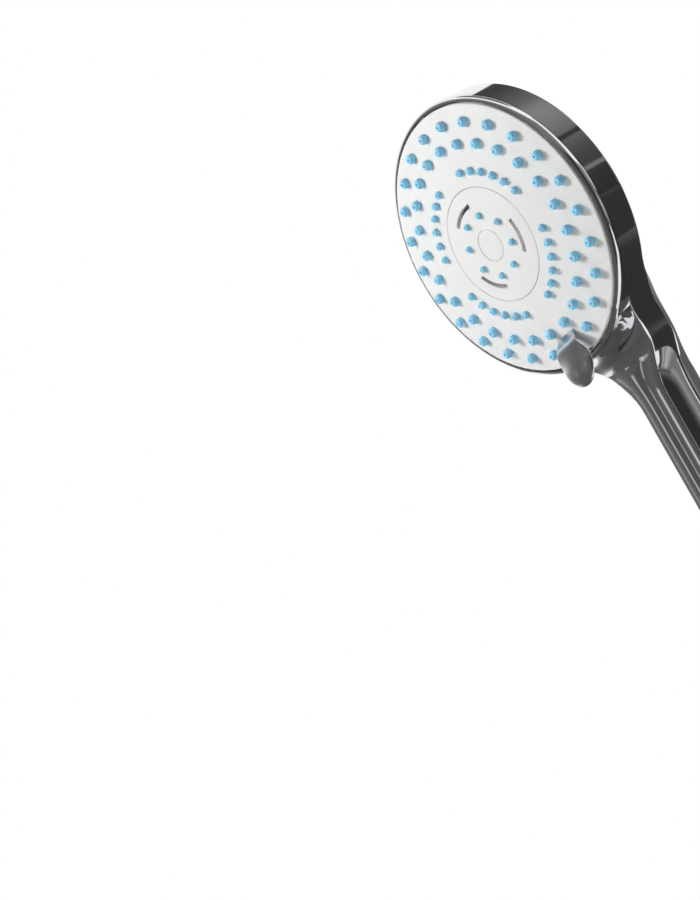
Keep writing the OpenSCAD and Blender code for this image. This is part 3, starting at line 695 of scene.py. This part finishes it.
# Hose connector: a stepped tube, and a thread swept round its foot that runs out at both ends
thread = {"crestR": 10.478, "rootR": 9.318, "pitch": 1.814, "start": 1.05, "turns": 5.6, "steps": 72,
          "crest": 0.16, "base": 0.72, "sink": 0.3, "runOut": 0.55}
tube = {"length": 38, "outer": 9.6, "reliefR": 9.2, "reliefLow": 12.4, "reliefTop": 14.2, "mouthR": 7.2,
        "mouthTop": 10, "seatR": 5.6, "seatTop": 14, "boreR": 4.2, "socketR": 6.25, "socketAt": 26.5,
        "edge": 0.5, "mouthEdge": 0.3}
root, sunkR = thread["rootR"], thread["rootR"] - thread["sink"]
tubeOutside = [
    (tube["mouthR"] + tube["mouthEdge"], 0), (root - tube["edge"], 0), (root, tube["edge"]),
    (root, tube["reliefLow"]), (tube["reliefR"], tube["reliefLow"] + 0.1),
    (tube["reliefR"], tube["reliefTop"]), (tube["outer"], tube["reliefTop"] + 0.4),
    (tube["outer"], tube["length"])]
tubeInside = [
    (tube["socketR"], tube["length"]), (tube["socketR"], tube["socketAt"]), (tube["boreR"], tube["socketAt"]),
    (tube["boreR"], tube["seatTop"]), (tube["seatR"], tube["seatTop"]), (tube["seatR"], tube["mouthTop"]),
    (tube["mouthR"], tube["mouthTop"]), (tube["mouthR"], tube["mouthEdge"])]
hoseConnector = spun("hoseConnector", tubeOutside + tubeInside, 144, platedBrass)
bpy.ops.object.select_all(action="DESELECT")
bpy.ops.mesh.primitive_circle_add(vertices=6, radius=1)
ridge = startPiece("threadRidge", platedBrass)
tooth = [(sunkR, thread["base"]), (root, thread["base"]), (thread["crestR"], thread["crest"]),
         (thread["crestR"], -thread["crest"]), (root, -thread["base"]), (sunkR, -thread["base"])]
for v, (r, z) in zip(ridge.data.vertices, tooth):
    v.co = (r, 0, z)
sweep = ridge.modifiers.new("sweep", "SCREW")
sweep.axis, sweep.angle, sweep.screw_offset = "Z", 2 * pi * thread["turns"], thread["pitch"] * thread["turns"]
sweep.steps = sweep.render_steps = int(thread["steps"] * thread["turns"])
sweep.use_merge_vertices = False
bpy.ops.object.modifier_apply(modifier=sweep.name)
bpy.ops.object.mode_set(mode="EDIT")
bpy.ops.mesh.select_mode(type="EDGE")
bpy.ops.mesh.select_all(action="DESELECT")
bpy.ops.mesh.select_non_manifold()
bpy.ops.mesh.edge_face_add()
bpy.ops.mesh.select_all(action="SELECT")
bpy.ops.mesh.normals_make_consistent(inside=False)
bpy.ops.object.mode_set(mode="OBJECT")
rows = len(ridge.data.vertices) // 6
for i, v in enumerate(ridge.data.vertices):
    # the tooth sinks into the tube over its first and last part of a turn
    turn = (i // 6) / (rows - 1) * thread["turns"]
    share = clamp01(min(turn, thread["turns"] - turn) / thread["runOut"])
    r = hypot(v.co.x, v.co.y)
    shrink = mix(sunkR, r, step(0, 1, share)) / r
    v.co = (v.co.x * shrink, v.co.y * shrink, v.co.z + thread["start"])
selectOnly(hoseConnector, ridge)
bpy.ops.object.join()
seat(hoseConnector, rowToMetres)
smooth(hoseConnector, 35)
place(hoseConnector, "handset", "plated_brass", "hose_connector")
print("collar and hose connector made")

# Every solid that stays as packed gets its own finish too
finishes = {
    chromePlate: ["handle_collar", "rear_shell", "front_cover"],
    satinPlate: ["selector_lever"],
    platedBrass: ["hose_connector"],
    whitePom: ["water_tube", "flow_regulator", "valve_seat", "spray_plate", "port_disc", "turbine"],
    blackRubber: ["tube_top_o_ring", "tube_base_o_ring", "hub_o_ring", "port_seal", "chamber_gasket"],
    stainless: ["filter_screen", "valve_seat_screws", "port_seal_spring", "detent_spring", "detent_plunger",
                "pivot_washer", "pivot_screw", "port_disc_screws"],
    paleAbs: ["faceplate", "centre_insert", "centre_cap", "jet_plate"],
    siliconeBlue: ["rain_nozzles", "mist_nozzles", "centre_nozzles"],
}
for material, nodes in finishes.items():
    for node in nodes:
        slots = frame["nodes"][node].data.materials
        slots.clear()
        slots.append(material)
print("finishes set")

# Studio: white all round for what the camera, gloss and glass see, and a plainer level for the light itself
studio = {"light": 0.27, "floorDrop": 0.45, "floorR": 4.0, "floorWhite": 0.85, "paper": 0.9}
scene = bpy.context.scene
scene.view_settings.view_transform = "Standard"
world = bpy.data.worlds.new("studio")
scene.world = world
world.use_nodes = True
world.node_tree.nodes.clear()
rays = addNode(world, "ShaderNodeLightPath").outputs
direct = addNode(world, "ShaderNodeMath", {"operation": "MAXIMUM"},
                 {0: rays["Is Camera Ray"], 1: rays["Is Glossy Ray"]})
seen = addNode(world, "ShaderNodeMath", {"operation": "MAXIMUM"},
               {0: direct.outputs[0], 1: rays["Is Transmission Ray"]}).outputs[0]
level = addNode(world, "ShaderNodeMapRange", {"To Min": studio["light"], "To Max": 1.0}, {"Value": seen})
sky = addNode(world, "ShaderNodeBackground", {"Color": (1, 1, 1, 1)}, {"Strength": level.outputs[0]})
addNode(world, "ShaderNodeOutputWorld", None, {"Surface": sky.outputs[0]})

bpy.ops.object.select_all(action="DESELECT")
bpy.ops.mesh.primitive_circle_add(vertices=128, radius=studio["floorR"], fill_type="NGON",
                                  location=(0, 0, -studio["floorDrop"]))
floor = bpy.context.active_object
floor.name = "floor"
paleFloor = newMaterial("paleFloor")
where = addNode(paleFloor, "ShaderNodeTexCoord").outputs["Object"]
mottle = addNode(paleFloor, "ShaderNodeTexNoise", {"Scale": perMetre(333)}, {"Vector": where}).outputs["Fac"]
tone = addNode(paleFloor, "ShaderNodeMapRange", {"To Min": 0.93, "To Max": 0.95}, {"Value": mottle})
matt = addNode(paleFloor, "ShaderNodeBsdfPrincipled", {"Roughness": 0.8}, {"Base Color": tone.outputs[0]})
# the camera sees it as nearly white paper that keeps its shadows, and from below it isn't there
paper = addNode(paleFloor, "ShaderNodeEmission", {"Color": (1, 1, 1, 1), "Strength": studio["paper"]})
toCamera = addNode(paleFloor, "ShaderNodeMath", {"operation": "MULTIPLY", 1: studio["floorWhite"]},
                   {0: addNode(paleFloor, "ShaderNodeLightPath").outputs["Is Camera Ray"]})
upper = addNode(paleFloor, "ShaderNodeMixShader", None,
                {0: toCamera.outputs[0], 1: matt.outputs[0], 2: paper.outputs[0]})
below = addNode(paleFloor, "ShaderNodeNewGeometry").outputs["Backfacing"]
nothing = addNode(paleFloor, "ShaderNodeBsdfTransparent")
finishMaterial(paleFloor, addNode(paleFloor, "ShaderNodeMixShader", None,
                                  {0: below, 1: upper.outputs[0], 2: nothing.outputs[0]}))
floor.data.materials.append(paleFloor)

# Flags: cloths and cards round the set that only the gloss sees, so that the chrome has something to show.
# Each spans an azimuth, from +X towards +Y, and an elevation, in degrees; its tones run across or up it,
# and its edges fade over the soft angle. A later one hangs a little nearer than those before it.
flags = {"radius": 2.6, "centre": (0, 0, 0.15), "underRoom": 0.58, "nearer": 0.985}
panels = {
    "bounceCard": {
        "az": (0, 360), "el": (-86, -9), "soft": (0.1, 0.1, 1, 1), "run": "up",
        "tones": [(-86, 0.95), (-9, 0.95)]},
    "topFlag": {
        "az": (0, 360), "el": (68, 89), "soft": (0.1, 0.1, 3, 0.1), "run": "up",
        "tones": [(68, 0.16), (89, 0.16)]},
    "rearTopFlag": {
        "az": (54, 128), "el": (34, 66), "soft": (2, 2, 2, 2), "run": "across",
        "tones": [(54, 0.26), (66, 0.22), (76, 0.14), (98, 0.09), (117, 0.055), (128, 0.06)]},
    "rearFlag": {
        "az": (36, 59), "el": (-38, 54), "soft": (1, 2, 1, 3), "run": "up",
        "tones": [(-38, 0.03), (-9, 0.035), (-8, 0.06), (-6, 0.03), (8, 0.035), (9, 0.2), (10.5, 0.2),
                  (11.5, 0.05), (22, 0.08), (30, 0.13), (31, 0.04), (33, 0.04), (34, 0.15), (44, 0.22),
                  (54, 0.26)]},
    "rearLowFlag": {
        "az": (56, 104.5), "el": (-80, -11), "soft": (1, 1, 2, 3), "run": "up",
        "tones": [(-80, 0.1), (-50, 0.08), (-46, 0.03), (-34, 0.035), (-28, 0.1), (-11, 0.13)]},
    "nearFlag": {
        "az": (290, 366), "el": (-62, -1), "soft": (2, 10, 10, 1), "run": "across",
        "tones": [(290, 0.12), (300, 0.04), (335, 0.03), (350, 0.1), (366, 0.3)]},
    "sideFlag": {
        "az": (-12, 38), "el": (-34.5, -1), "soft": (14, 1, 1, 1), "run": "up",
        "tones": [(-34, 0.03), (-31, 0.06), (-28, 0.25), (-26, 0.42), (-24, 0.22), (-20, 0.48), (-17, 0.4),
                  (-13, 0.3), (-10, 0.18), (-1, 0.2)]},
    "deepFlag": {
        "az": (102, 250), "el": (-80, -38), "soft": (1, 3, 2, 1), "run": "across",
        "tones": [(102, 0.08), (124, 0.06), (132, 0.02), (165, 0.02), (182, 0.06), (190, 0.11), (250, 0.09)]},
    "underFlag": {
        "az": (124, 201), "el": (-50, -14), "soft": (1, 1, 3, 2), "run": "up",
        "tones": [(-48, 0.07), (-28, 0.09), (-22, 0.14), (-18, 0.3), (-14, 0.7)]},
    "underNearFlag": {
        "az": (198, 262), "el": (-50, -8), "soft": (2, 2, 3, 1), "run": "up",
        "tones": [(-50, 0.08), (-15, 0.1)]},
    "frontFlag": {
        "az": (182, 258), "el": (8, 52), "soft": (34, 3, 1, 5), "run": "up",
        "tones": [(8, 0.11), (20, 0.12), (34, 0.2), (52, 0.27)]},
    "faceFlag": {
        "az": (250, 352), "el": (10, 50), "soft": (6, 4, 2, 4), "run": "across",
        "tones": [(250, 0.17), (352, 0.2)]},
    "stripFlag": {
        "az": (183, 258), "el": (-12, 13), "soft": (3, 1, 1, 3), "run": "across",
        "tones": [(183, 0.14), (203, 0.15), (215, 0.1), (232, 0.09), (246, 0.12), (258, 0.1)]},
    "stripLines": {
        "az": (195, 252), "el": (2.5, 10), "soft": (1, 1, 1.5, 1.5), "run": "across",
        "tones": [(195, 0.12), (198, 0.28), (201, 0.28), (203, 0.16), (215, 0.09), (216, 0.48), (219, 0.48),
                  (220, 0.09), (232.5, 0.08), (233.5, 0.4), (235, 0.4), (236, 0.1), (245, 0.12), (246.5, 0.6),
                  (249, 0.6), (250.5, 0.1), (252, 0.1)]},
    "gripFlag": {
        "az": (250, 346), "el": (-62, 13), "soft": (1, 1, 10, 2), "run": "across",
        "tones": [(250, 0.1), (285, 0.09), (300, 0.03), (328, 0.03), (336, 0.08), (346, 0.15)]},
    "gripSideFlag": {
        "az": (345, 400), "el": (-5, 13), "soft": (1, 1, 1, 2), "run": "across",
        "tones": [(345, 0.15), (357, 0.32), (366, 0.22), (382, 0.18), (392, 0.26), (394, 0.8), (397, 0.8),
                  (399, 0.1)]},
    "gripBackFlag": {
        "az": (406, 497), "el": (-5, 14), "soft": (2, 2, 1, 2), "run": "across",
        "tones": [(406, 0.28), (414, 0.22), (424, 0.11), (480, 0.12), (497, 0.3)]},
}


def softSide(cloth, share, first, last):
    # rises from 0 to 1 over the first part of a share from 0 to 1, and falls over the last
    rise = addNode(cloth, "ShaderNodeMapRange", {"interpolation_type": "SMOOTHSTEP", "From Max": first},
                   {"Value": share})
    fall = addNode(cloth, "ShaderNodeMapRange",
                   {"interpolation_type": "SMOOTHSTEP", "From Min": 1.0, "From Max": 1.0 - last},
                   {"Value": share})
    return addNode(cloth, "ShaderNodeMath", {"operation": "MULTIPLY"},
                   {0: rise.outputs[0], 1: fall.outputs[0]}).outputs[0]


for nearness, (name, panel) in enumerate(panels.items()):
    (az0, az1), (el0, el1) = panel["az"], panel["el"]
    cloth = newMaterial(name + "Cloth")
    where = addNode(cloth, "ShaderNodeTexCoord").outputs["UV"]
    shares = addNode(cloth, "ShaderNodeSeparateXYZ", None, {0: where}).outputs
    run, ends = (0, (az0, az1)) if panel["run"] == "across" else (1, (el0, el1))
    ramp = addNode(cloth, "ShaderNodeValToRGB", None, {0: shares[run]})
    stops = ramp.color_ramp.elements
    for k, (angle, tone) in enumerate(panel["tones"]):
        share = (angle - ends[0]) / (ends[1] - ends[0])
        stop = stops[k] if k < 2 else stops.new(share)
        stop.position, stop.color = share, (tone, tone, tone, 1)
    glow = addNode(cloth, "ShaderNodeEmission", None, {"Color": ramp.outputs[0]})
    clear = addNode(cloth, "ShaderNodeBsdfTransparent")
    left, right, low, high = panel["soft"]
    fade = addNode(cloth, "ShaderNodeMath", {"operation": "MULTIPLY"},
                   {0: softSide(cloth, shares[0], left / (az1 - az0), right / (az1 - az0)),
                    1: softSide(cloth, shares[1], low / (el1 - el0), high / (el1 - el0))})
    finishMaterial(cloth, addNode(cloth, "ShaderNodeMixShader", None,
                                  {0: fade.outputs[0], 1: clear.outputs[0], 2: glow.outputs[0]}))
    bpy.ops.object.select_all(action="DESELECT")
    bpy.ops.mesh.primitive_grid_add(x_subdivisions=72, y_subdivisions=24, size=2)
    sheet = startPiece(name, cloth)
    for v in sheet.data.vertices:
        az, el = radians(mix(az0, az1, (v.co.x + 1) / 2)), radians(mix(el0, el1, (v.co.y + 1) / 2))
        reach = min(flags["radius"], flags["underRoom"] / max(0.01, -sin(el))) * flags["nearer"] ** nearness
        v.co = Vector(flags["centre"]) + Vector((cos(az) * cos(el), sin(az) * cos(el), sin(el))) * reach
    sheet.visible_camera = sheet.visible_diffuse = sheet.visible_shadow = sheet.visible_transmission = False

# One soft lamp from the front left
lamp = {"at": (-0.68, -1.23, 0.94), "towards": (0, 0, 0.18), "size": 0.45, "watts": 23}
light = bpy.data.lights.new("keyLamp", "AREA")
light.size, light.energy = lamp["size"], lamp["watts"]
keyLamp = bpy.data.objects.new("keyLamp", light)
keyLamp.location = lamp["at"]
keyLamp.rotation_euler = (Vector(lamp["towards"]) - Vector(lamp["at"])).to_track_quat("-Z", "Y").to_euler()
keyLamp.visible_glossy = False
scene.collection.objects.link(keyLamp)
print("studio made")
